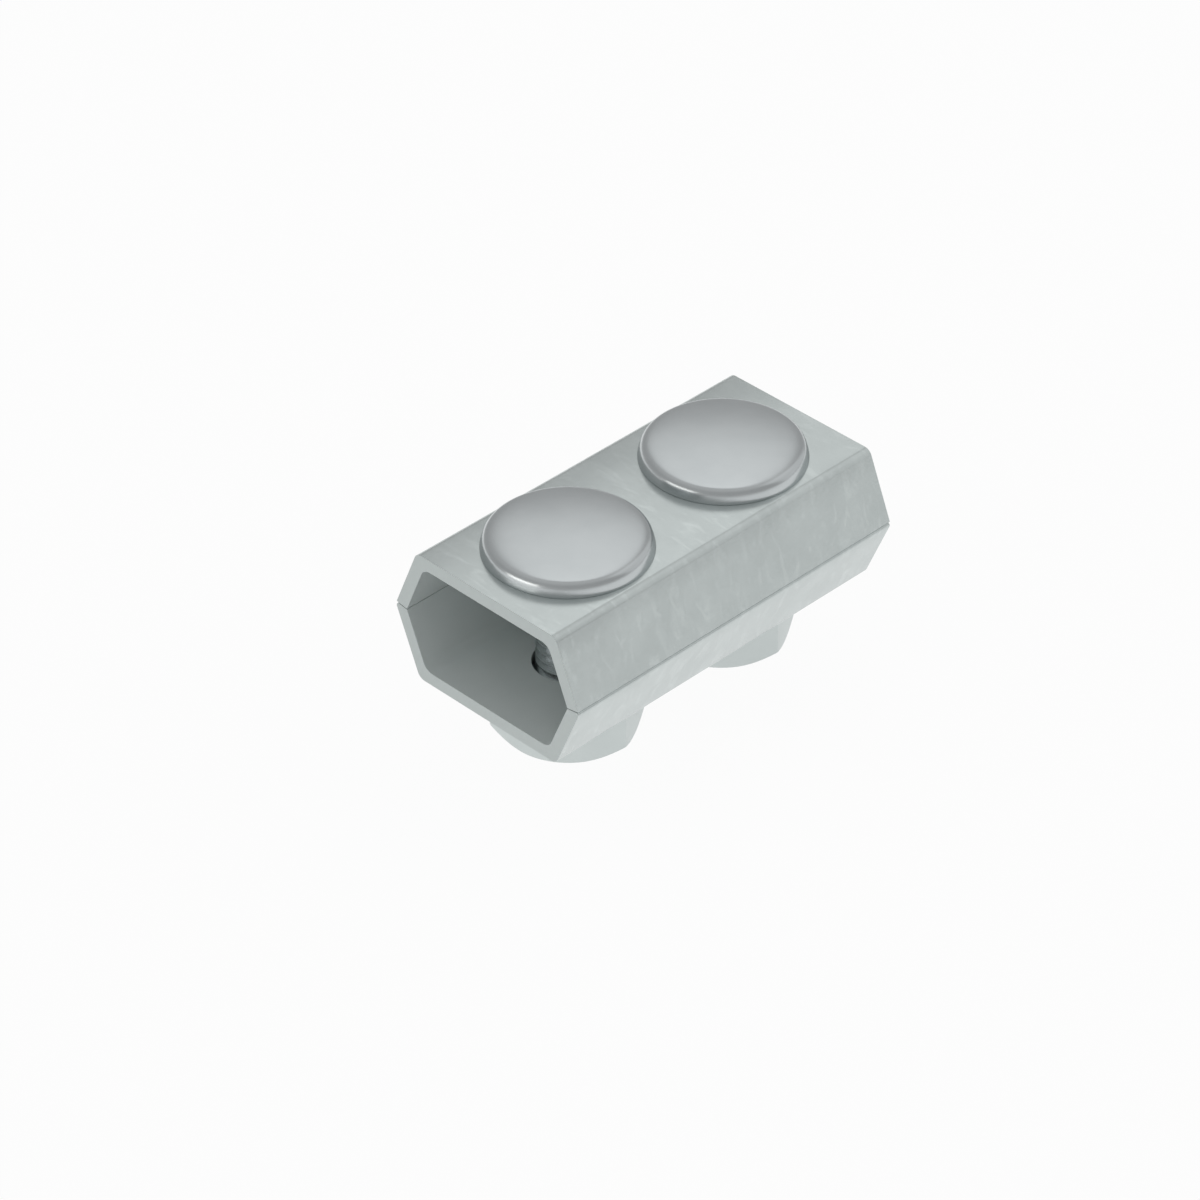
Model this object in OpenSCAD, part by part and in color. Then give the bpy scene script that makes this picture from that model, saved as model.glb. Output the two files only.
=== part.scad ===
// Earthing connector: two pressed steel shells drawn together by two cup-head bolts,
// with a channel for one round conductor on each side of the bolts.
// Millimetres. X runs across the conductors, Y along them, Z up. The bolt ends stand on Z = 0.

/* [Shells] */
// Length of both shells along the conductors
shell_length = 66.8; // [64:0.2:72]
// Height of one shell from its closing edge to its flat outer face
shell_height = 11.55; // [11:0.05:12.4]
// Width of the flat outer face between the two bends
web_flat = 27; // [26:0.2:28]
// Outward run of the sloping sides over their run height
side_run = 5; // [4.4:0.2:5.6]
// Run height, over which the outward run is measured
run_height = 12; // [11:0.5:13]
// Sheet thickness
sheet = 2.2; // [1.8:0.1:2.5]
// Outside radius of the bends
bend_outer = 1.5; // [1:0.1:2.4]
// Inside radius of the bends
bend_inner = 2; // [1.2:0.1:2.8]
// Rise of the closing edge from its inner to its outer corner
edge_rise = 0.35; // [0.2:0.05:0.8]
// Gap left between the two closed shells
closing_gap = 0.1; // [0.04:0.02:0.3]

/* [Bolts] */
// Distance between the two bolt axes
bolt_spacing = 33; // [31:0.5:36]
// Thread outside diameter
thread_diameter = 9.85; // [9:0.05:10]
// Bolt length below the head
bolt_length = 35; // [33:1:38]
// Head diameter
head_diameter = 26; // [25:0.5:27]
// Head height at its middle
head_height = 3.1; // [2.9:0.1:3.4]
// Height of the straight side of the head
head_side = 1.2; // [1:0.1:1.4]
// Radius of the rounded shoulder of the head
head_shoulder = 1.5; // [1.2:0.1:1.6]
// Small bevel under the rim of the head
head_underbevel = 0.3; // [0.1:0.1:0.5]
// Side of the square neck
neck_side = 9.9; // [9.6:0.1:10.4]
// Depth of the square neck below the head
neck_depth = 5; // [4:0.5:6]
// Bevel at the tip of the thread
tip_bevel = 0.9; // [0.5:0.1:1.2]

/* [Nuts] */
// Width across the flats of a nut
nut_flats = 21.2; // [19:0.2:22]
// Height of a nut
nut_height = 9.3; // [8:0.1:10]
// How far the round end face of a nut stays inside its flats
nut_end_inset = 0.2; // [0.1:0.1:0.6]
// Slope of the nut's corner bevel in degrees
nut_bevel_angle = 42; // [30:1:45]
// Depth of the bevel at the mouths of the thread
nut_mouth_bevel = 0.8; // [0.4:0.1:1.2]

/* [Fits] */
// Clearance on each side of the square neck in its hole
neck_clearance = 0.2; // [0.1:0.05:0.4]
// Radial clearance of the thread in the holes of the lower shell
hole_clearance = 0.6; // [0.3:0.1:1]
// Radial running clearance of the thread in a nut
nut_clearance = 0.05; // [0.02:0.01:0.1]

/* [Hidden] */

steel = [0.74, 0.77, 0.76];
bolt_steel = [0.76, 0.78, 0.79];

// how far a cutting shape runs past the face it opens
past = 1;
// how much wider the arc of a bend is, so that it crosses both faces instead of touching them
lap = 0.001;

half_gap = closing_gap / 2;
// height of the closing plane above the bolt ends
mid_z = bolt_length - shell_height;
lean = atan(side_run / run_height);
turn = 90 - lean;
inner_top = shell_height - sheet;
// centres of the outer and inner bends
outer_x = web_flat / 2;
inner_x = outer_x + (bend_outer - sheet - bend_inner) * tan(turn / 2);

head_radius = head_diameter / 2;
thread_radius = thread_diameter / 2;
dome_rise = head_height - head_side;
shoulder_x = head_radius - head_shoulder;
dome_radius = (pow(shoulder_x, 2) + pow(dome_rise, 2) - pow(head_shoulder, 2))
    / (2 * (dome_rise - head_shoulder));
dome_z = head_height - dome_radius;
// direction from the centre of the dome to the centre of the shoulder
dome_tilt = atan(shoulder_x / (head_side - dome_z));

nut_radius = nut_flats / sqrt(3);
nut_end_radius = nut_flats / 2 - nut_end_inset;
// height of the bevel where its cone runs past the corners
nut_bevel = (nut_radius + past - nut_end_radius) * tan(nut_bevel_angle);
nut_bore = thread_radius + nut_clearance;

// point on the sloping side of a half trapezoid whose bend is centred on x, at the height z
function side_x(x, top, r, z) = x + r * cos(lean) + (top - r + r * sin(lean) - z) * tan(lean);

// right half of a solid trapezoid with a rounded upper corner centred on x
module half_trapezoid(x, top, r, low) {
    far = 3 * r;
    difference() {
        polygon([[0, low], [0, top], [x + r * tan(turn / 2), top], [side_x(x, top, r, low), low]]);
        // what lies outside the bend, between the two directions square to the faces
        difference() {
            polygon([[x, top - r], [x, top + r], [x + far, top + r],
                     [x + far * cos(lean), top - r + far * sin(lean)]]);
            translate([x, top - r]) circle(r = r + lap, $fn = 64);
        }
    }
}

module half_section() {
    edge_in = side_x(inner_x, inner_top, bend_inner, half_gap);
    edge_out = side_x(outer_x, shell_height, bend_outer, half_gap + edge_rise);
    slope = edge_rise / (edge_out - edge_in);
    difference() {
        half_trapezoid(outer_x, shell_height, bend_outer, -past);
        half_trapezoid(inner_x, inner_top, bend_inner, -2 * past);
        // closing edge: inner corner lowest, outer corner raised
        polygon([[-past, -3 * past], [-past, half_gap], [edge_in, half_gap],
                 [edge_out + past, half_gap + edge_rise + slope * past],
                 [edge_out + past, -3 * past]]);
    }
}

module shell_blank() {
    rotate([90, 0, 0])
        linear_extrude(height = shell_length, center = true) {
            half_section();
            mirror([1, 0]) half_section();
            // joins the two halves over the middle line
            translate([-past, inner_top]) square([2 * past, sheet]);
        }
}

module upper_shell() {
    side = neck_side + 2 * neck_clearance;
    color(steel) translate([0, 0, mid_z]) difference() {
        shell_blank();
        for (s = [-1, 1])
            translate([-side / 2, s * bolt_spacing / 2 - side / 2, inner_top - past])
                cube([side, side, sheet + 2 * past]);
    }
}

module lower_shell() {
    color(steel) translate([0, 0, mid_z]) mirror([0, 0, 1]) difference() {
        shell_blank();
        for (s = [-1, 1])
            translate([0, s * bolt_spacing / 2, inner_top - past])
                cylinder(r = thread_radius + hole_clearance, h = sheet + 2 * past, $fn = 64);
    }
}

// head, thread and tip of a bolt in one turned outline; the underside of the head is at z = 0
module bolt_outline() {
    polygon([[0, -bolt_length], [thread_radius - tip_bevel, -bolt_length],
             [thread_radius, -bolt_length + tip_bevel], [thread_radius, 0],
             [head_radius - head_underbevel, 0], [head_radius, head_underbevel],
             [head_radius, head_side], [shoulder_x, head_side], [0, head_side]]);
    // shoulder
    intersection() {
        translate([shoulder_x, head_side]) circle(r = head_shoulder, $fn = 64);
        translate([shoulder_x - head_shoulder, head_side / 2])
            square([2 * head_shoulder + past, head_height]);
    }
    // dome
    intersection() {
        translate([0, dome_z]) circle(r = dome_radius, $fn = 256);
        polygon([[0, head_side / 2], [shoulder_x, head_side / 2], [shoulder_x, head_side],
                 [shoulder_x + head_height * sin(dome_tilt),
                  head_side + head_height * cos(dome_tilt)],
                 [0, head_side + head_height]]);
    }
}

module bolt() {
    color(bolt_steel) translate([0, 0, mid_z + shell_height]) {
        rotate_extrude($fn = 96) bolt_outline();
        translate([-neck_side / 2, -neck_side / 2, -neck_depth])
            cube([neck_side, neck_side, neck_depth + head_side / 2]);
    }
}

module nut() {
    color(bolt_steel) translate([0, 0, mid_z - shell_height - nut_height]) difference() {
        intersection() {
            cylinder(r = nut_radius, h = nut_height, $fn = 6);
            rotate_extrude($fn = 96)
                polygon([[0, 0], [nut_end_radius, 0], [nut_radius + past, nut_bevel],
                         [nut_radius + past, nut_height - nut_bevel],
                         [nut_end_radius, nut_height], [0, nut_height]]);
        }
        translate([0, 0, -past]) cylinder(r = nut_bore, h = nut_height + 2 * past, $fn = 64);
        // bevelled mouths of the thread
        for (m = [0, 1])
            translate([0, 0, m * nut_height]) mirror([0, 0, m])
                translate([0, 0, -past])
                    cylinder(r1 = nut_bore + nut_mouth_bevel + past, r2 = nut_bore,
                             h = nut_mouth_bevel + past, $fn = 64);
    }
}

module bolt_front() { translate([0, -bolt_spacing / 2, 0]) bolt(); }
module bolt_rear() { translate([0, bolt_spacing / 2, 0]) bolt(); }
module nut_front() { translate([0, -bolt_spacing / 2, 0]) nut(); }
module nut_rear() { translate([0, bolt_spacing / 2, 0]) nut(); }

upper_shell();
lower_shell();
bolt_front();
bolt_rear();
nut_front();
nut_rear();
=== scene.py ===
from math import atan2, cos, pi, radians, sin, sqrt, tan

import bmesh
import bpy
import numpy as np
from bpy.props import FloatProperty, FloatVectorProperty, PointerProperty
from bpy.types import Operator, Panel, PropertyGroup
from mathutils import Matrix, Vector


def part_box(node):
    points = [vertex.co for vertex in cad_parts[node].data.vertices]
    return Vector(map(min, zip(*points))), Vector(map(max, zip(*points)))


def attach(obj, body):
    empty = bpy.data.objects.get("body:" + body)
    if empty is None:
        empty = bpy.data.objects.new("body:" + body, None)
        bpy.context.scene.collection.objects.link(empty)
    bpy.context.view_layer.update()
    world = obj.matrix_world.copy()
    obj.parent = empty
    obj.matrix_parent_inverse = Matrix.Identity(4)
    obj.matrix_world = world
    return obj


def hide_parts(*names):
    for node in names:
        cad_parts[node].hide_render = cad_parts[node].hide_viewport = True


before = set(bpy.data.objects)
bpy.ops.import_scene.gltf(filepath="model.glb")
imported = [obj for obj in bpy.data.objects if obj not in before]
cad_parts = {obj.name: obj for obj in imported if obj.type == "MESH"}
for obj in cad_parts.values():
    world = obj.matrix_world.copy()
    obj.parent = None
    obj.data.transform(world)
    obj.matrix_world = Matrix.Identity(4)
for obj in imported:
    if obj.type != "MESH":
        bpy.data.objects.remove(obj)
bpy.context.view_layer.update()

bl_info = {
    "name": "Earthing Connector",
    "version": (1, 0, 0),
    "blender": (4, 5, 0),
    "location": "View3D > Sidebar > Connector",
    "description": "Dresses the earthing connector: pressed shells, threaded bolts, nuts and a studio",
    "category": "Object",
}

MM = 0.001

# where the frame puts the shells, the bolts and the nuts
UPPER_LOW, UPPER_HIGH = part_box("upper_shell")
LOWER_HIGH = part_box("lower_shell")[1]
BOLT_LOW, BOLT_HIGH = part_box("bolt_front")
NUT_LOW, NUT_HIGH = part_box("nut_front")
SEAM_Z = (UPPER_LOW.z + LOWER_HIGH.z) / 2
BOLT_Y = abs(BOLT_LOW.y + BOLT_HIGH.y) / 2

# how finely round forms are drawn
BEND_STEPS = 12
SIDE_STEPS = 4
LIP_STEPS = 8
HEAD_STEPS = 44
EDGE_STEPS = 4
CORNER_STEPS = 6
FACE_STEPS = 22
PATCH_STEPS = 6
BRIDGE_STEPS = 5
WORN_STEPS = 3
# how strongly the steps of a head crowd towards its flat middle
HEAD_CROWDING = 2.2
# share of a stretch that the rounding of a corner may use
SOFT_SHARE = 0.45
# half the width of a thread's crest over its pitch
HALF_CREST = 1 / 16

# edges steeper than this stay sharp
SHARP_ANGLE = radians(40)
# points nearer than this are one point
MERGE = 1e-7
# how far a shell's reach may differ from the frame's
FIT = 0.02 * MM

# brightness of the studio's dome: 0 is straight below, 0.5 the horizon and 1 overhead
DOME = ((0.0, 0.9), (0.49, 0.9), (0.5, 0.52), (0.70, 0.47), (0.80, 0.49), (0.88, 0.56),
        (0.94, 0.62), (1.0, 0.62))
# the softboxes: where each stands, its width and height, and its colour
KEY_BOX = ((-0.15, -0.73, 0.15), (0.55, 0.17), (1.0, 0.97, 0.94))
TALL_BOX = ((-0.464, 0.484, 0.994), (0.48, 1.02), (1.0, 1.0, 1.0))
SIDE_BOX = ((0.44, 0.88, 0.63), (1.3, 1.2), (1.0, 1.0, 1.0))
# width of the camera's sensor in millimetres
SENSOR_MM = 36


def length(name, description, default_mm):
    """A size of the object, kept in metres."""
    return FloatProperty(name=name, description=description, default=default_mm * MM,
                         unit="LENGTH", precision=5, min=0.0)


def angle(name, description, default_degrees):
    """An angle of the object or the camera, kept in radians."""
    return FloatProperty(name=name, description=description, default=radians(default_degrees),
                         subtype="ANGLE")


def tone(name, description, default):
    """A linear surface colour."""
    return FloatVectorProperty(name=name, description=description, default=default,
                               subtype="COLOR", size=3, min=0.0, max=1.0)


def power(name, description, default):
    """The power of a lamp, in watts."""
    return FloatProperty(name=name, description=description, default=default, min=0.0)


class ShellSizes(PropertyGroup):
    """Sizes of the two pressed shells"""
    sheet: length("Sheet", "Thickness of the pressed sheet", 2.2)
    web_flat: length("Web", "Width of the flat outer face between the bends", 27.0)
    side_run: length("Side run", "Outward run of a side over the run height", 5.0)
    run_height: length("Run height", "Height over which the side run is measured", 12.0)
    bend_outer: length("Outer bend", "Outside radius of the bends", 1.5)
    bend_inner: length("Inner bend", "Inside radius of the bends", 2.0)
    edge_rise: length("Edge rise", "Rise of the closing edge towards the outside", 0.35)
    lip_rise: length("Lip rise", "How far the lower shell's rounded lip fills the seam", 0.25)
    lip_round: length("Lip rounding", "Radius of the lower shell's rounded lip", 0.5)
    hole_square: length("Square hole", "Side of the square holes in the upper shell", 10.3)
    hole_round: length("Round hole", "Diameter of the round holes in the lower shell", 11.05)
    patch: length("Hole patch", "Half width of the mesh patch round each hole", 8.0)
    edge_round: length("Edge rounding", "Width of the worn edge along every cut", 0.06)


class BoltSizes(PropertyGroup):
    """Sizes of the two cup-head bolts"""
    head_height: length("Head height", "Height of the head at its middle", 3.1)
    head_side: length("Head side", "Height of the straight side of the head", 0.2)
    head_dome: length("Head dome", "Radius of the flat dome of the head", 165.0)
    head_shoulder: length("Head shoulder", "Radius of the tight shoulder", 1.05)
    head_flank: length("Head flank", "Added radius of the steep flank below the shoulder", 3.0)
    head_turn: angle("Head turn", "Slope at which the dome runs into the shoulder", 3.2)
    flank_start: angle("Flank start", "Slope at which the shoulder runs into the flank", 60)
    flank_span: angle("Flank span", "Turn over which the flank's radius is added", 8)
    head_steep: angle("Head steepness", "Slope of the flank where it meets the side", 73)
    head_rim: length("Head rim", "Rounding under the rim of the head", 0.15)
    seat_ring: length("Seat ring", "Width of the flat ring round the shank, under the head", 2.0)
    neck_side: length("Neck side", "Side of the square neck", 9.9)
    neck_depth: length("Neck depth", "Depth of the square neck below the head", 5.0)
    neck_corner: length("Neck corner", "Corner radius of the square neck", 0.5)
    neck_bevel: length("Neck bevel", "Height of the bevel below the square neck", 0.3)
    thread: length("Thread", "Outside diameter of the thread", 9.85)
    pitch: length("Pitch", "Pitch of the thread", 1.5)
    groove: length("Groove", "Depth of the thread's groove", 0.9)
    thread_start: length("Plain length", "Length below the head without a thread", 8.5)
    run_out: length("Run-out", "Length over which the groove fades out", 1.5)
    tip: length("Tip bevel", "Bevel at the end of the thread", 0.9)


class NutSizes(PropertyGroup):
    """Sizes of the two hexagon nuts"""
    flats: length("Flats", "Width across the flats", 21.2)
    end_inset: length("End inset", "How far the end face stays inside the flats", 0.2)
    bevel_angle: angle("Bevel angle", "Slope of the corner bevel", 42)
    corner: length("Corner", "Radius of the upright corners", 0.35)
    mouth: length("Mouth", "Depth of the bevel at the mouth of the thread", 0.8)
    clearance: length("Clearance", "Radial clearance between the threads", 0.05)
    land: length("Land", "Radius of the crests of the inner thread", 4.2)
    edge_round: length("Edge rounding", "Rounding of the edges of the nut", 0.14)


class Finish(PropertyGroup):
    """Colours of the zinc"""
    sheet_light: tone("Sheet, light", "Bright zinc of the shells", (0.630, 0.681, 0.675))
    sheet_dark: tone("Sheet, dark", "Dull zinc of the shells", (0.517, 0.563, 0.557))
    # painted light: the inside colour is lighter than the outer zinc, to lift the shade inside the
    # closed shells
    inside: tone("Inside", "Dull zinc on the inside of the sheet", (0.720, 0.765, 0.757))
    cut_edge: tone("Cut edge", "Sheared edges of the sheet", (0.495, 0.540, 0.532))
    head_light: tone("Bolt, light", "Bright zinc of the bolts", (0.560, 0.590, 0.598))
    head_dark: tone("Bolt, dark", "Dull zinc of the bolts", (0.505, 0.537, 0.545))
    nut_light: tone("Nut, light", "Bright zinc of the nuts", (0.640, 0.688, 0.682))
    nut_dark: tone("Nut, dark", "Dull zinc of the nuts", (0.580, 0.628, 0.622))


class Studio(PropertyGroup):
    """Camera, floor and light"""
    azimuth: angle("Azimuth", "Camera's turn from the front", 45.013)
    elevation: angle("Elevation", "Camera's height above the level", 36.636)
    distance: length("Distance", "Camera's distance from the object's middle", 714.93)
    lens: FloatProperty(name="Lens", description="Focal length in millimetres on a 36 mm sensor",
                        default=142.67, min=1.0)
    slip_right: length("Slip right", "How far the object lies right of the picture's middle",
                       6.923)
    slip_up: length("Slip up", "How far the object lies above the picture's middle", 5.567)
    floor_size: length("Floor", "Side of the floor", 4000.0)
    floor_tone: tone("Floor", "Colour of the floor", (0.86, 0.865, 0.865))
    key_power: power("Key box", "Power of the low softbox in front, in watts", 0.53)
    tall_power: power("Tall box", "Power of the tall softbox behind, in watts", 0.79)
    side_power: power("Side box", "Power of the wide softbox on the right, in watts", 1.42)
    floor_shown: FloatProperty(name="Floor glow", default=0.95, min=0.0, max=1.0,
                               description="How far the floor shows white to the eye")


class ConnectorSettings(PropertyGroup):
    """Everything that can be set on the connector"""
    shells: PointerProperty(type=ShellSizes)
    bolts: PointerProperty(type=BoltSizes)
    nuts: PointerProperty(type=NutSizes)
    finish: PointerProperty(type=Finish)
    studio: PointerProperty(type=Studio)


# Meshes

class Skin:
    """Points and polygons of one piece, gathered patch by patch and merged where they meet."""

    def __init__(self):
        self.points = []
        self.faces = []
        self.marks = []
        self.count = 0

    def add(self, points, faces, mark=0):
        """Adds a patch. mark is the material slot of its faces, or one slot for each face."""
        self.points.append(points.reshape(-1, 3))
        self.faces.append(faces.reshape(-1, 4) + self.count)
        self.marks.append(np.broadcast_to(mark, faces.size // 4))
        self.count += points.size // 3

    def shift(self, y=0.0, z=0.0):
        """Moves every point gathered so far."""
        for points in self.points:
            points += (0, y, z)

    def piece(self, name):
        """One mesh object at the origin, with its doubles merged and its flat faces kept flat."""
        mesh = bpy.data.meshes.new(name)
        mesh.from_pydata(np.vstack(self.points).tolist(), [], np.vstack(self.faces).tolist())
        mesh.polygons.foreach_set("material_index", np.concatenate(self.marks).astype(np.int32))
        work = bmesh.new()
        work.from_mesh(mesh)
        bmesh.ops.remove_doubles(work, verts=work.verts, dist=MERGE)
        bmesh.ops.dissolve_degenerate(work, dist=MERGE, edges=work.edges)
        work.to_mesh(mesh)
        work.free()
        mesh.shade_smooth()
        mesh.set_sharp_from_angle(angle=SHARP_ANGLE)
        piece = bpy.data.objects.new(name, mesh)
        bpy.context.scene.collection.objects.link(piece)
        return piece


def place(piece, body, node, slot, *materials):
    """Gives a piece its materials and puts it on its body in place of its CAD node."""
    for material in materials:
        piece.data.materials.append(material)
    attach(piece, body)
    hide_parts(node)


def half_outlines(s, height, lip):
    """Matching stations down the outer and inner outline of half a shell section.

    Each outline runs level from the middle of the web to its bend, turns on an arc from
    straight up to the normal of the side, and runs straight down the side to the closing
    edge, whose outer corner lies higher than its inner one by the edge rise. The side leans
    out by the side run over the run height. Heights count from the closing edge. A lip is an
    arc instead of the outer corner: it touches the side and ends level, below the closing
    edge by the lip rise.
    """
    lean = atan2(s.side_run, s.run_height)
    turn = pi / 2 - lean
    outer_x = s.web_flat / 2
    inner_x = outer_x + (s.bend_outer - s.sheet - s.bend_inner) * tan(turn / 2)
    angles = np.linspace(pi / 2, lean, BEND_STEPS + 1)
    steps = np.linspace(0, 1, SIDE_STEPS + 1)[1:, None]

    def outline(x, top, radius, end_z):
        web = np.linspace(0, s.patch, PATCH_STEPS + 1)
        web = np.stack([web, np.full_like(web, top)], 1)
        bend = np.stack([x + radius * np.cos(angles), top - radius + radius * np.sin(angles)], 1)
        end_x = bend[-1, 0] + (bend[-1, 1] - end_z) * tan(lean)
        side = bend[-1] + steps * (np.array([end_x, end_z]) - bend[-1])
        return np.vstack([web, bend, side])

    outer = outline(outer_x, height, s.bend_outer, s.edge_rise)
    inner = outline(inner_x, height - s.sheet, s.bend_inner, 0.0)
    if not lip:
        return outer, inner
    centre_z = s.lip_round - s.lip_rise
    side_x = outer[-1, 0] - (centre_z - s.edge_rise) * tan(lean)
    centre = np.array([side_x - s.lip_round / cos(lean), centre_z])
    round_off = np.linspace(lean, -pi / 2, LIP_STEPS + 1)
    arc = centre + s.lip_round * np.stack([np.cos(round_off), np.sin(round_off)], 1)
    bend = outer[:-SIDE_STEPS]
    outer = np.vstack([bend, bend[-1] + steps * (arc[0] - bend[-1]), arc[1:]])
    inner_side = np.linspace(inner[-SIDE_STEPS - 1], inner[-1], SIDE_STEPS + LIP_STEPS + 1)
    return outer, np.vstack([inner[:-SIDE_STEPS], inner_side[1:]])


def mirrored(outline):
    """A half outline with its mirror image in front of it."""
    return np.vstack([outline[:0:-1] * (-1, 1), outline])


def patch_border(column, row, steps):
    """Column and row numbers round a square patch, counter-clockwise from its low corner."""
    up, down = np.arange(-steps, steps), np.arange(steps, -steps, -1)
    low, high = np.full(2 * steps, -steps), np.full(2 * steps, steps)
    return (column + np.concatenate([up, high, down, low]),
            row + np.concatenate([low, up, high, down]))


def sheet_rows(s, length_y):
    """Places of the grid's rows along Y: close together over the two patches, wide elsewhere."""
    near = np.linspace(-s.patch, s.patch, 2 * PATCH_STEPS + 1)
    end, between = length_y / 2, BOLT_Y - s.patch
    return np.concatenate([[-end, (-end - BOLT_Y - s.patch) / 2], near - BOLT_Y,
                           np.linspace(-between, between, BRIDGE_STEPS + 1)[1:-1], near + BOLT_Y,
                           [(end + BOLT_Y + s.patch) / 2, end]])


def edge_walls(quads, count):
    """Walls from every open edge of the outer layer to the inner one, numbered count higher.

    An edge is open where no other quad runs along it the other way.
    """
    starts, ends = quads.ravel(), np.roll(quads, -1, 1).ravel()
    open_edge = ~np.isin(starts * count + ends, ends * count + starts)
    starts, ends = starts[open_edge], ends[open_edge]
    return np.stack([starts + count, ends + count, ends, starts], 1)


def shell_skin(s, length_y, height, square, flip):
    """A pressed shell: a flat sheet with two holes, bent round its section.

    The sheet is a grid of section stations times rows along Y. Round each hole the grid gives
    way to a patch whose quads run from the patch's square border to the hole's outline, which
    is the same border shrunk to a smaller square or thrown onto a circle. The grid is laid on
    the outer and on the inner outline, and every open edge is closed by a wall between them.
    flip turns the section over for the lower shell, which has the rounded lip.
    """
    outer, inner = (mirrored(half) for half in half_outlines(s, height, flip))
    columns, middle = len(outer), len(outer) // 2
    rows = sheet_rows(s, length_y)
    grid = np.arange(columns * len(rows)).reshape(columns, len(rows))
    outside = np.repeat(outer, len(rows), 0)
    inside = np.repeat(inner, len(rows), 0)
    along = np.tile(rows, columns)
    kept = np.ones((columns - 1, len(rows) - 1), bool)
    rings = []
    for side in (-1, 1):
        row = int(np.argmin(abs(rows - side * BOLT_Y)))
        span = slice(row - PATCH_STEPS, row + PATCH_STEPS)
        kept[middle - PATCH_STEPS:middle + PATCH_STEPS, span] = False
        c, r = patch_border(middle, row, PATCH_STEPS)
        border = np.stack([outer[c, 0], rows[r] - side * BOLT_Y], 1)
        if square:
            hole = border * (s.hole_square / 2 / s.patch)
        else:
            hole = border / np.linalg.norm(border, axis=1)[:, None] * s.hole_round / 2
        rim = len(along) + np.arange(len(c))
        outside = np.vstack([outside, np.stack([hole[:, 0], np.full(len(c), height)], 1)])
        inside = np.vstack([inside, np.stack([hole[:, 0], np.full(len(c), height - s.sheet)], 1)])
        along = np.concatenate([along, hole[:, 1] + side * BOLT_Y])
        edge = grid[c, r]
        rings.append(np.stack([edge, np.roll(edge, -1), np.roll(rim, -1), rim], 1))
    quads = np.stack([grid[:-1, :-1], grid[1:, :-1], grid[1:, 1:], grid[:-1, 1:]], -1)[kept]
    quads = np.vstack([quads] + rings)
    count = len(along)
    walls = edge_walls(quads, count)
    layers = [np.stack([layer[:, 0], along, layer[:, 1]], 1) for layer in (outside, inside)]
    points = np.vstack(layers)
    faces = np.vstack([quads, walls, quads[:, ::-1] + count])
    if flip:
        points[:, 2] *= -1
        faces = faces[:, ::-1]
    skin = Skin()
    skin.add(points, faces, np.repeat([0, 1, 2], [len(quads), len(walls), len(quads)]))
    return skin


def sheet_map(piece):
    """UV map of the sheet in metres: across the section, and along Y.

    Across counts the distance from the middle plane plus the depth behind the web's face.
    """
    mesh = piece.data
    co = np.empty(len(mesh.vertices) * 3)
    mesh.vertices.foreach_get("co", co)
    co = co.reshape(-1, 3)
    depth = (UPPER_HIGH.z - SEAM_Z) - abs(co[:, 2] - SEAM_Z)
    across = np.sign(co[:, 0]) * (abs(co[:, 0]) + depth)
    corner = np.empty(len(mesh.loops), np.int32)
    mesh.loops.foreach_get("vertex_index", corner)
    layer = mesh.uv_layers.new(name="sheet")
    layer.data.foreach_set("uv", np.stack([across, co[:, 1]], 1)[corner].ravel())


def ring_angles(sides, flat, corner, first):
    """Angles round a regular polygon with rounded corners, crowded where the corners turn."""
    half = pi / sides
    centre = (flat - corner) / cos(half)
    tangent = atan2(corner * sin(half), centre + corner * cos(half))
    arc = np.linspace(-tangent, tangent, CORNER_STEPS + 1)
    face = np.linspace(tangent, 2 * half - tangent, FACE_STEPS + 1)[1:-1]
    one = np.concatenate([arc, face])
    return (first + 2 * half * np.arange(sides)[:, None] + one).ravel()


def polygon_reach(angles, sides, flat, corner, first):
    """Distance from the axis to a regular polygon with rounded corners.

    On a face it is the distance of the face over the cosine of the angle from the face's
    middle. Near a corner it is the far crossing of the ray with the circle that rounds it.
    """
    half = pi / sides
    off = (angles - first + half) % (2 * half) - half
    centre = (flat - corner) / cos(half)
    tangent = atan2(corner * sin(half), centre + corner * cos(half))
    face = flat / np.cos(half - abs(off))
    inside = np.clip(corner ** 2 - (centre * np.sin(off)) ** 2, 0, None)
    return np.where(abs(off) < tangent, centre * np.cos(off) + np.sqrt(inside), face)


def softened(profile, reach):
    """A profile of stations x columns x (radius, height) with its inner corners rounded.

    Each corner gives way to a quadratic curve from a point just before it to a point just
    after it, at most the given reach away and never past the middle of a stretch.
    """
    before, here, after = profile[:-2], profile[1:-1], profile[2:]

    def towards(other):
        way = other - here
        size = np.linalg.norm(way, axis=-1, keepdims=True)
        step = np.minimum(reach, SOFT_SHARE * size)
        return here + way * step / np.maximum(size, MERGE)

    start, end = towards(before), towards(after)
    t = np.linspace(0, 1, EDGE_STEPS + 1)[:, None, None, None]
    curve = (1 - t) ** 2 * start + 2 * t * (1 - t) * here + t ** 2 * end
    curve = curve.transpose(1, 0, 2, 3).reshape(-1, *profile.shape[1:])
    return np.concatenate([profile[:1], curve, profile[-1:]])


def turned(profile, angles):
    """A profile carried round the axis: points at (r cos a, r sin a, z), and their quads.

    The profile runs from the top outwards and down, so that its faces point outwards.
    """
    r, z = profile[..., 0], profile[..., 1]
    points = np.stack([r * np.cos(angles), r * np.sin(angles), z], -1)
    ids = np.arange(r.size).reshape(r.shape)
    beside = np.roll(ids, -1, 1)
    faces = np.stack([ids[:-1], ids[1:], beside[1:], beside[:-1]], -1)
    return points, faces


def round_stations(stations, columns):
    """Stations that are the same all round, as stations x columns x (radius, height)."""
    return np.repeat(np.asarray(stations, float)[:, None, :], columns, 1)


def ring(radius, z, columns):
    """One station of a profile, whose radius may differ round the axis."""
    return np.stack(np.broadcast_arrays(radius, z, np.zeros(columns))[:2], -1)


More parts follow.
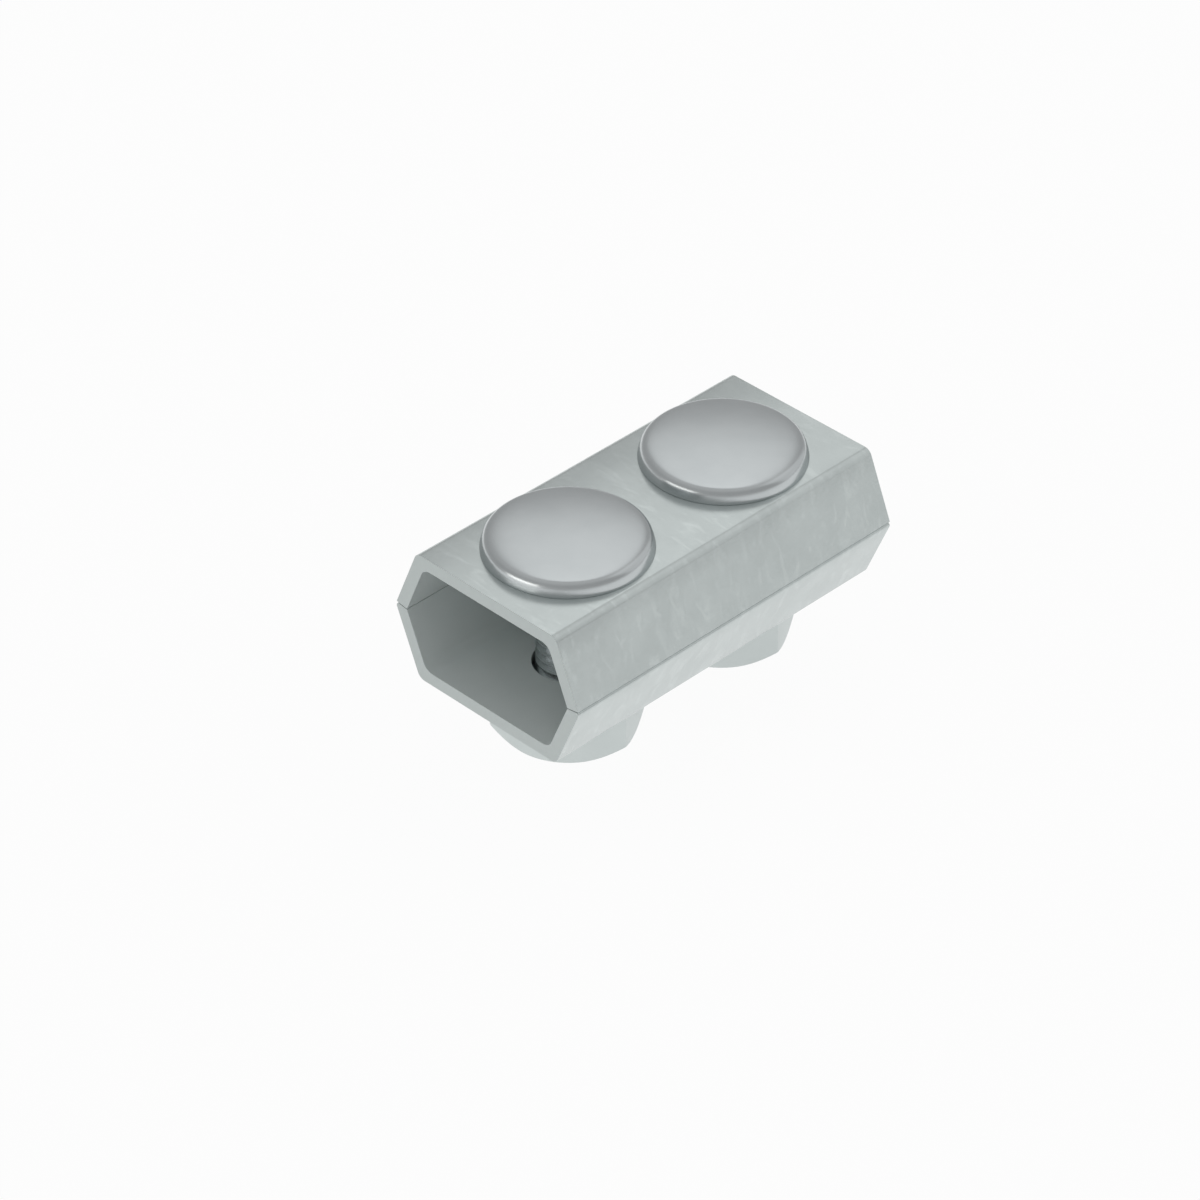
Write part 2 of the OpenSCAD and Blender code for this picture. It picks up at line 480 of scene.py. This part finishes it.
def thread_radius(b, angles, z):
    """Radius of a right-hand thread with 60 degree flanks.

    The crest lies where height over pitch less the turn is whole. From a crest an eighth of
    a pitch wide, the radius falls by the root of three times the distance along the axis,
    down to the groove's depth, which fades to nothing at the run-out below the plain length.
    """
    turns = z / b.pitch - angles / (2 * pi)
    off = abs((turns + 0.5) % 1 - 0.5) * b.pitch
    fall = np.clip(sqrt(3) * (off - HALF_CREST * b.pitch), 0, b.groove)
    top = BOLT_HIGH.z - b.head_height - b.thread_start
    fade = np.clip((top - z) / b.run_out, 0, 1)
    return b.thread / 2 - fall * fade * fade * (3 - 2 * fade)


def wound(b, angles, low, high, radius):
    """Surface whose rows follow the helix of the thread, between two heights.

    Row j at angle a lies at the pitch times (turn of the row + a / 2 pi), held between the
    two heights, and the last column meets the first one a whole turn further up. Four rows
    in each turn stand on the edges of the crest and of the root.
    """
    root = HALF_CREST + b.groove / b.pitch / sqrt(3)
    marks = np.array([HALF_CREST, root, 1 - root, 1 - HALF_CREST])
    first = np.floor(low / b.pitch) - 2
    turns = int(np.ceil((high - low) / b.pitch)) + 4
    level = (first + np.arange(turns)[:, None] + marks).ravel()
    z = np.clip(b.pitch * (level[:, None] + angles / (2 * pi)), low, high)
    r = radius(angles[None, :], z)
    points = np.stack([r * np.cos(angles), r * np.sin(angles), z], -1)
    ids = np.arange(z.size).reshape(z.shape)
    body = np.stack([ids[:-1, :-1], ids[:-1, 1:], ids[1:, 1:], ids[1:, :-1]], -1)
    per = len(marks)
    last, wrap = ids[:, -1], ids[per:, 0]
    rows = len(wrap) - 1
    join = np.stack([last[:rows], wrap[:rows], wrap[1:], last[1:rows + 1]], -1)
    return points, np.vstack([body.reshape(-1, 4), join])


def cup_outline(b, head):
    """Stations down the outline of a cup head, from its middle to its straight side.

    The outline turns from level to steep. Its radius of bending at the slope t is shoulder +
    (dome - shoulder) / (1 + (t / turn)^4), and grows evenly by the flank's radius while t
    passes the flank's span. The outline is the running sum of the radius times the cosine and
    the sine of t, stretched to the head's radius and rise.
    """
    slope = b.head_steep * np.linspace(0, 1, HEAD_STEPS + 1) ** HEAD_CROWDING
    middle = (slope[1:] + slope[:-1]) / 2
    bending = b.head_shoulder + (b.head_dome - b.head_shoulder) / (1 + (middle / b.head_turn) ** 4)
    bending += b.head_flank * np.clip((middle - b.flank_start) / b.flank_span, 0, 1)
    step = bending * np.diff(slope)
    out = np.concatenate([[0], np.cumsum(step * np.cos(middle))])
    down = np.concatenate([[0], np.cumsum(step * np.sin(middle))])
    rise = b.head_height - b.head_side
    return np.stack([out * head / out[-1], b.head_height - down * rise / down[-1]], 1)


def bolt_skin(b, y):
    """A cup-head bolt: the cup and its rim, a square neck, a thread and a bevelled tip.

    The rim, the neck and the plain shank are one turned profile, whose stations follow the
    reach of the square where the neck is. The bevel of the tip cuts the thread: the radius is
    the lesser of the thread's and of the bevel's, which grows as fast as the height.
    """
    seat = BOLT_HIGH.z - b.head_height
    head = (BOLT_HIGH.x - BOLT_LOW.x) / 2
    cup = cup_outline(b, head)
    square = dict(sides=4, flat=b.neck_side / 2, corner=b.neck_corner, first=pi / 4)
    angles = ring_angles(**square)
    columns, shank = len(angles), b.thread / 2
    neck = polygon_reach(angles, **square)
    rim = round_stations([cup[-1], [head, 0], [shank + b.seat_ring, 0]], columns)
    rim = softened(rim, b.head_rim)
    under = np.stack([
        ring(neck, 0, columns), ring(neck, -b.neck_depth + b.neck_bevel, columns),
        ring(shank, -b.neck_depth, columns), ring(shank, -b.thread_start, columns)])
    profile = np.concatenate([round_stations(cup[:-1], columns), rim, under])
    profile[..., 1] += seat
    skin = Skin()
    skin.add(*turned(profile, angles))

    def bevelled(a, z):
        return np.minimum(thread_radius(b, a, z), shank - b.tip + z - BOLT_LOW.z)

    skin.add(*wound(b, angles, BOLT_LOW.z, seat - b.thread_start, bevelled))
    closing = np.stack([ring(bevelled(angles, BOLT_LOW.z), BOLT_LOW.z, columns),
                        ring(0, BOLT_LOW.z, columns)])
    skin.add(*turned(closing, angles))
    skin.shift(y=y)
    return skin


def nut_skin(n, b, y):
    """A hexagon nut: six faces with rounded corners, cut by a cone at both ends.

    At each angle the side stands at the reach of the hexagon, and the cone climbs to it from
    the round end face by the tangent of the bevel angle. The thread inside is the bolt's own,
    moved out by the clearance, its crests cut back to the land.
    """
    hexagon = dict(sides=6, flat=n.flats / 2, corner=n.corner, first=0.0)
    angles = ring_angles(**hexagon)
    columns = len(angles)
    side = polygon_reach(angles, **hexagon)
    low, high = NUT_LOW.z, NUT_HIGH.z
    end = n.flats / 2 - n.end_inset
    drop = (side - end) * tan(n.bevel_angle)
    bore = b.thread / 2 + n.clearance

    def inner(a, z):
        return np.maximum(np.minimum(thread_radius(b, a, z) + n.clearance, bore), n.land)

    mouth, upper, lower = bore + n.mouth, high - n.mouth, low + n.mouth
    stations = ((inner(angles, upper), upper), (mouth, high), (end, high), (side, high - drop),
                (side, low + drop), (end, low), (mouth, low), (inner(angles, lower), lower))
    profile = np.stack([ring(radius, z, columns) for radius, z in stations])
    skin = Skin()
    skin.add(*turned(softened(profile, n.edge_round), angles))
    points, faces = wound(b, angles, lower, upper, inner)
    skin.add(points, faces[:, ::-1])
    skin.shift(y=y)
    return skin


# Materials

class Wire:
    """An output of a shader node. Sums, differences and products of wires add Math nodes."""

    def __init__(self, shop, socket):
        self.shop, self.socket = shop, socket

    def maths(self, operation, first, second):
        """Adds one Math node on two numbers or wires."""
        return self.shop.node("ShaderNodeMath", {"operation": operation}, {0: first, 1: second})

    def __add__(self, other):
        return self.maths("ADD", self, other)

    __radd__ = __add__

    def __sub__(self, other):
        return self.maths("SUBTRACT", self, other)

    def __rsub__(self, other):
        return self.maths("SUBTRACT", other, self)

    def __mul__(self, other):
        return self.maths("MULTIPLY", self, other)

    __rmul__ = __mul__


class Shop:
    """A material or a world under construction: adds nodes and joins them."""

    def __init__(self, owner):
        self.owner = owner
        owner.use_nodes = True
        self.tree = owner.node_tree
        self.tree.nodes.clear()

    def node(self, kind, settings=None, sockets=None, out=0):
        """Adds a node: its settings first, a ramp's stops among them, then its sockets."""
        made = self.tree.nodes.new(kind)
        for key, value in (settings or {}).items():
            if key == "stops":
                self.stops(made.color_ramp, value)
            else:
                setattr(made, key, value)
        for key, value in (sockets or {}).items():
            if isinstance(value, Wire):
                self.tree.links.new(value.socket, made.inputs[key])
            else:
                made.inputs[key].default_value = value
        return Wire(self, made.outputs[out]) if made.outputs else None

    @staticmethod
    def stops(ramp, stops):
        """Gives a ramp its stops, each a position and a grey."""
        while len(ramp.elements) > len(stops):
            ramp.elements.remove(ramp.elements[-1])
        while len(ramp.elements) < len(stops):
            ramp.elements.new(1.0)
        for element, (position, grey) in zip(ramp.elements, stops):
            element.position = position
            element.color = (grey, grey, grey, 1)

    def clouds(self, vector, scale, detail=3.0, rough=0.55, warp=0.0):
        """Noise from 0 to 1 on a vector."""
        return self.node("ShaderNodeTexNoise", {"noise_dimensions": "3D"},
                         {"Vector": vector, "Scale": scale, "Detail": detail,
                          "Roughness": rough, "Distortion": warp})

    def ramp(self, value, low, high):
        """A value stretched so that low becomes 0 and high becomes 1."""
        return self.node("ShaderNodeMapRange", {"clamp": True},
                         {"Value": value, "From Min": low, "From Max": high})

    def blend(self, factor, first, second):
        """A colour between two colours or wires."""
        first, second = (c if isinstance(c, Wire) else (*c, 1) for c in (first, second))
        return self.node("ShaderNodeMix", {"data_type": "RGBA"},
                         {0: factor, 6: first, 7: second}, out=2)

    def crown(self, vector, half, fade, slope):
        """Height of a face that falls away to both sides of the middle plane.

        With x the distance from the plane held at half, and e what lies beyond it held at fade,
        it is minus slope times x^2 / (2 half) + e - e^2 / (2 fade).
        """
        x = self.node("ShaderNodeSeparateXYZ", {}, {"Vector": vector}, out="X")
        x = x.maths("ABSOLUTE", x, 0.0)
        inside = x.maths("MINIMUM", x, half)
        beyond = x.maths("MINIMUM", x, half + fade) - inside
        return (inside * inside * (0.5 / half) + beyond - beyond * beyond * (0.5 / fade)) * -slope

    def stretched(self, vector, scale, turn=0.0):
        """A vector turned about Z and scaled, to draw out a pattern."""
        return self.node("ShaderNodeMapping", {},
                         {"Vector": vector, "Rotation": (0, 0, turn), "Scale": scale})

    def metal(self, colour, roughness, height, depth, metallic):
        """Finishes the material as a metal with a relief, whose height 1 is the depth in metres."""
        normal = self.node("ShaderNodeBump", {}, {"Strength": 1.0, "Distance": depth,
                                                  "Height": height})
        shader = self.node("ShaderNodeBsdfPrincipled", {},
                           {"Base Color": colour, "Roughness": roughness,
                            "Metallic": metallic, "Normal": normal})
        self.node("ShaderNodeOutputMaterial", {}, {"Surface": shader})
        return self.owner


def galvanised_sheet(f, half_web, bend):
    """Hot-dip zinc on pressed sheet: soft mottling, flame-like streaks and a fine grain.

    The streaks run across the section. The web is shaded as a slight crown, which fades out
    over the bend. The relief is in metres.
    """
    shop = Shop(bpy.data.materials.new("galvanised_sheet"))
    flat = shop.node("ShaderNodeUVMap", {"uv_map": "sheet"})
    spot = shop.node("ShaderNodeTexCoord", {}, out="Object")
    mottle = shop.clouds(spot, scale=140, detail=4, rough=0.55)
    mottle = shop.ramp(mottle, low=0.36, high=0.66)
    drawn_out = shop.stretched(flat, scale=(170, 560, 1), turn=radians(-6))
    streaks = shop.clouds(drawn_out, scale=1.0, detail=4, rough=0.62, warp=0.8)
    streaks = shop.ramp(streaks, low=0.52, high=0.68)
    brushed = shop.stretched(flat, scale=(2600, 900, 1))
    grain = shop.clouds(brushed, scale=1.0, detail=2, rough=0.6)
    light = 0.27 + 0.36 * mottle + 0.38 * streaks + 0.40 * (grain - 0.5)
    colour = shop.blend(light, tuple(f.sheet_dark), tuple(f.sheet_light))
    roughness = 0.22 + 0.06 * grain - 0.03 * streaks
    crown = shop.crown(spot, half_web, bend, slope=0.072)
    relief = 0.0032 * MM * grain + 0.0013 * MM * streaks + crown
    return shop.metal(colour, roughness, relief, depth=1.0, metallic=0.85)


def inner_zinc_painted_light(f):
    """Dull, undisturbed zinc on the inside of the sheet, its colour painted lighter than the outer
    zinc as painted light that lifts the shade inside the closed shells.
    """
    shop = Shop(bpy.data.materials.new("inner_zinc_painted_light"))
    spot = shop.node("ShaderNodeTexCoord", {}, out="Object")
    cloud = shop.clouds(spot, scale=180, detail=3, rough=0.5)
    # painted light: mostly the lighter inside colour, which lifts the shade inside the closed shells
    colour = shop.blend(0.7 + 0.6 * (cloud - 0.5), tuple(f.sheet_light), tuple(f.inside))
    return shop.metal(colour, 0.55 + 0.1 * cloud, cloud, depth=0.002 * MM, metallic=0.25)


def cut_edge(f):
    """Sheared edge of the sheet under a thinner coat of zinc: duller, with a fine grain."""
    shop = Shop(bpy.data.materials.new("cut_edge"))
    spot = shop.node("ShaderNodeTexCoord", {}, out="Object")
    grain = shop.clouds(spot, scale=900, detail=2, rough=0.5)
    colour = shop.blend(0.4 + 0.4 * (grain - 0.5), tuple(f.cut_edge), tuple(f.sheet_light))
    return shop.metal(colour, 0.48 + 0.06 * grain, grain, depth=0.004 * MM, metallic=0.6)


def zinc_turned(name, light, dark, roughness, metallic):
    """Smooth satin zinc on bolts and nuts, with faint clouds and a fine grain."""
    shop = Shop(bpy.data.materials.new(name))
    spot = shop.node("ShaderNodeTexCoord", {}, out="Object")
    cloud = shop.clouds(spot, scale=160, detail=3, rough=0.5)
    cloud = shop.ramp(cloud, low=0.35, high=0.65)
    grain = shop.clouds(spot, scale=2400, detail=2, rough=0.5)
    colour = shop.blend(0.35 + 0.4 * cloud + 0.2 * (grain - 0.5), tuple(dark), tuple(light))
    roughness = roughness + 0.04 * (grain - 0.5)
    return shop.metal(colour, roughness, grain, 0.0008 * MM, metallic)


def floor_material(colour, shown):
    """Pale floor that keeps the shadow, and shows nearly white to the eye and to the metal."""
    shop = Shop(bpy.data.materials.new("pale_floor"))
    eye = shop.node("ShaderNodeLightPath", {}, out="Is Camera Ray")
    metal = shop.node("ShaderNodeLightPath", {}, out="Is Glossy Ray")
    glass = shop.node("ShaderNodeLightPath", {}, out="Is Transmission Ray")
    paint = shop.node("ShaderNodeBsdfDiffuse", {}, {"Color": (*colour, 1)})
    glow = shop.node("ShaderNodeEmission", {}, {"Color": (1, 1, 1, 1), "Strength": 1.0})
    share = shown * (eye + metal + glass)
    mixed = shop.node("ShaderNodeMixShader", {}, {0: share, 1: paint, 2: glow})
    shop.node("ShaderNodeOutputMaterial", {}, {"Surface": mixed})
    return shop.owner


def studio_dome(stops):
    """Soft light all round, brighter or duller with the height, behind a background seen white."""
    shop = Shop(bpy.data.worlds.new("studio"))
    way = shop.node("ShaderNodeTexCoord", {}, out="Generated")
    height = shop.node("ShaderNodeSeparateXYZ", {}, {"Vector": way}, out="Z")
    light = shop.node("ShaderNodeValToRGB", {"stops": stops}, {"Fac": 0.5 + 0.5 * height})
    eye = shop.node("ShaderNodeLightPath", {}, out="Is Camera Ray")
    colour = shop.blend(eye, light, (1.0, 1.0, 1.0))
    glow = shop.node("ShaderNodeBackground", {}, {"Color": colour, "Strength": 1.0})
    shop.node("ShaderNodeOutputWorld", {}, {"Surface": glow})
    return shop.owner


# Operators

def wear(piece, width):
    """Rounds every sharp edge a little, as wear and the zinc do."""
    bevel = piece.modifiers.new("worn edges", "BEVEL")
    bevel.width = width
    bevel.segments = WORN_STEPS
    bevel.limit_method = "ANGLE"
    bevel.angle_limit = SHARP_ANGLE
    bevel.use_clamp_overlap = False
    bevel.harden_normals = True


def flatten(piece):
    """Lets the large faces set the normals, so that flat faces stay flat beside small curves."""
    normals = piece.modifiers.new("face weights", "WEIGHTED_NORMAL")
    normals.keep_sharp = True


class CONNECTOR_OT_shells(Operator):
    """Build the two pressed shells"""
    bl_idname = "connector.shells"
    bl_label = "Pressed shells"

    def execute(self, context):
        s = context.scene.connector.shells
        f = context.scene.connector.finish
        finish = (galvanised_sheet(f, s.web_flat / 2, s.bend_outer), cut_edge(f), inner_zinc_painted_light(f))
        gap = UPPER_LOW.z - SEAM_Z
        length_y = UPPER_HIGH.y - UPPER_LOW.y
        height = UPPER_HIGH.z - UPPER_LOW.z
        for name, node, body, side in (("pressed_upper_shell", "upper_shell", "upper", 1),
                                       ("pressed_lower_shell", "lower_shell", "lower", -1)):
            skin = shell_skin(s, length_y, height, side > 0, side < 0)
            skin.shift(z=SEAM_Z + side * gap)
            reach = skin.points[0][:, 0].max()
            if abs(reach - UPPER_HIGH.x) > FIT:
                raise RuntimeError(f"{name} reaches {reach} m, but the frame {UPPER_HIGH.x} m")
            piece = skin.piece(name)
            sheet_map(piece)
            wear(piece, s.edge_round)
            place(piece, body, node, "shell_steel", *finish)
        return {"FINISHED"}


class CONNECTOR_OT_bolts(Operator):
    """Build the two cup-head bolts"""
    bl_idname = "connector.bolts"
    bl_label = "Bolts"

    def execute(self, context):
        b = context.scene.connector.bolts
        f = context.scene.connector.finish
        finish = zinc_turned("satin_zinc", f.head_light, f.head_dark, roughness=0.25, metallic=1.0)
        for node, y in (("bolt_front", -BOLT_Y), ("bolt_rear", BOLT_Y)):
            piece = bolt_skin(b, y).piece("threaded_" + node)
            flatten(piece)
            place(piece, "upper", node, "bolt_steel", finish)
        return {"FINISHED"}


class CONNECTOR_OT_nuts(Operator):
    """Build the two hexagon nuts"""
    bl_idname = "connector.nuts"
    bl_label = "Nuts"

    def execute(self, context):
        settings = context.scene.connector
        f = settings.finish
        finish = zinc_turned("nut_zinc", f.nut_light, f.nut_dark, roughness=0.42, metallic=0.9)
        for node, body, y in (("nut_front", "front_nut", -BOLT_Y),
                              ("nut_rear", "rear_nut", BOLT_Y)):
            piece = nut_skin(settings.nuts, settings.bolts, y).piece("bevelled_" + node)
            flatten(piece)
            place(piece, body, node, "nut_steel", finish)
        return {"FINISHED"}


def lamp(name, box, watts, aim):
    """A softbox of the given place, width, height and colour, which faces an aim."""
    spot, (width, height), colour = box
    data = bpy.data.lights.new(name, "AREA")
    data.shape = "RECTANGLE"
    data.size = width
    data.size_y = height
    data.energy = watts
    data.color = colour
    made = bpy.data.objects.new(name, data)
    made.location = spot
    made.rotation_euler = (Vector(aim) - Vector(spot)).to_track_quat("-Z", "Y").to_euler()
    bpy.context.scene.collection.objects.link(made)


class CONNECTOR_OT_studio(Operator):
    """Build the floor, the soft light and the camera"""
    bl_idname = "connector.studio"
    bl_label = "Studio"

    def execute(self, context):
        scene, st = context.scene, context.scene.connector.studio
        self.floor(scene, st)
        scene.world = studio_dome(DOME)
        self.camera(scene, st)
        aim = (0, 0, SEAM_Z)
        lamp("key_softbox", KEY_BOX, st.key_power, aim)
        lamp("tall_softbox", TALL_BOX, st.tall_power, aim)
        lamp("side_softbox", SIDE_BOX, st.side_power, aim)
        scene.view_settings.view_transform = "Standard"
        return {"FINISHED"}

    def floor(self, scene, st):
        """A square of floor under the bolt tips."""
        half = st.floor_size / 2
        mesh = bpy.data.meshes.new("pale_floor")
        mesh.from_pydata([(-half, -half, 0), (half, -half, 0), (half, half, 0), (-half, half, 0)],
                         [], [(0, 1, 2, 3)])
        made = bpy.data.objects.new("pale_floor", mesh)
        scene.collection.objects.link(made)
        mesh.materials.append(floor_material(tuple(st.floor_tone), st.floor_shown))

    def camera(self, scene, st):
        """A camera that looks at the seam from the given turn and height, slipped sideways."""
        a, e = st.azimuth, st.elevation
        back = Vector((sin(a) * cos(e), -cos(a) * cos(e), sin(e)))
        right = Vector((cos(a), sin(a), 0))
        up = back.cross(right)
        data = bpy.data.cameras.new("camera")
        data.sensor_width = SENSOR_MM
        data.lens = st.lens
        made = bpy.data.objects.new("camera", data)
        spot = Vector((0, 0, SEAM_Z)) + back * st.distance - right * st.slip_right - up * st.slip_up
        turn = Matrix((right, up, back)).transposed().to_4x4()
        made.matrix_world = Matrix.Translation(spot) @ turn
        scene.collection.objects.link(made)
        scene.camera = made


class CONNECTOR_PT_panel(Panel):
    """Sizes, colours and builders of the connector"""
    bl_idname = "CONNECTOR_PT_panel"
    bl_label = "Earthing connector"
    bl_space_type = "VIEW_3D"
    bl_region_type = "UI"
    bl_category = "Connector"

    def draw(self, context):
        settings = context.scene.connector
        for group in (settings.shells, settings.bolts, settings.nuts, settings.finish,
                      settings.studio):
            box = self.layout.box()
            for name in group.__annotations__:
                box.prop(group, name)
        for operator in OPERATORS:
            self.layout.operator(operator.bl_idname)


OPERATORS = (CONNECTOR_OT_shells, CONNECTOR_OT_bolts, CONNECTOR_OT_nuts, CONNECTOR_OT_studio)
GROUPS = (ShellSizes, BoltSizes, NutSizes, Finish, Studio, ConnectorSettings)
CLASSES = GROUPS + OPERATORS + (CONNECTOR_PT_panel,)


def register():
    for kind in CLASSES:
        bpy.utils.register_class(kind)
    bpy.types.Scene.connector = PointerProperty(type=ConnectorSettings)


def unregister():
    del bpy.types.Scene.connector
    for kind in reversed(CLASSES):
        bpy.utils.unregister_class(kind)


def main():
    register()
    bpy.ops.connector.shells()
    bpy.ops.connector.bolts()
    bpy.ops.connector.nuts()
    bpy.ops.connector.studio()


if __name__ == "__main__":
    main()
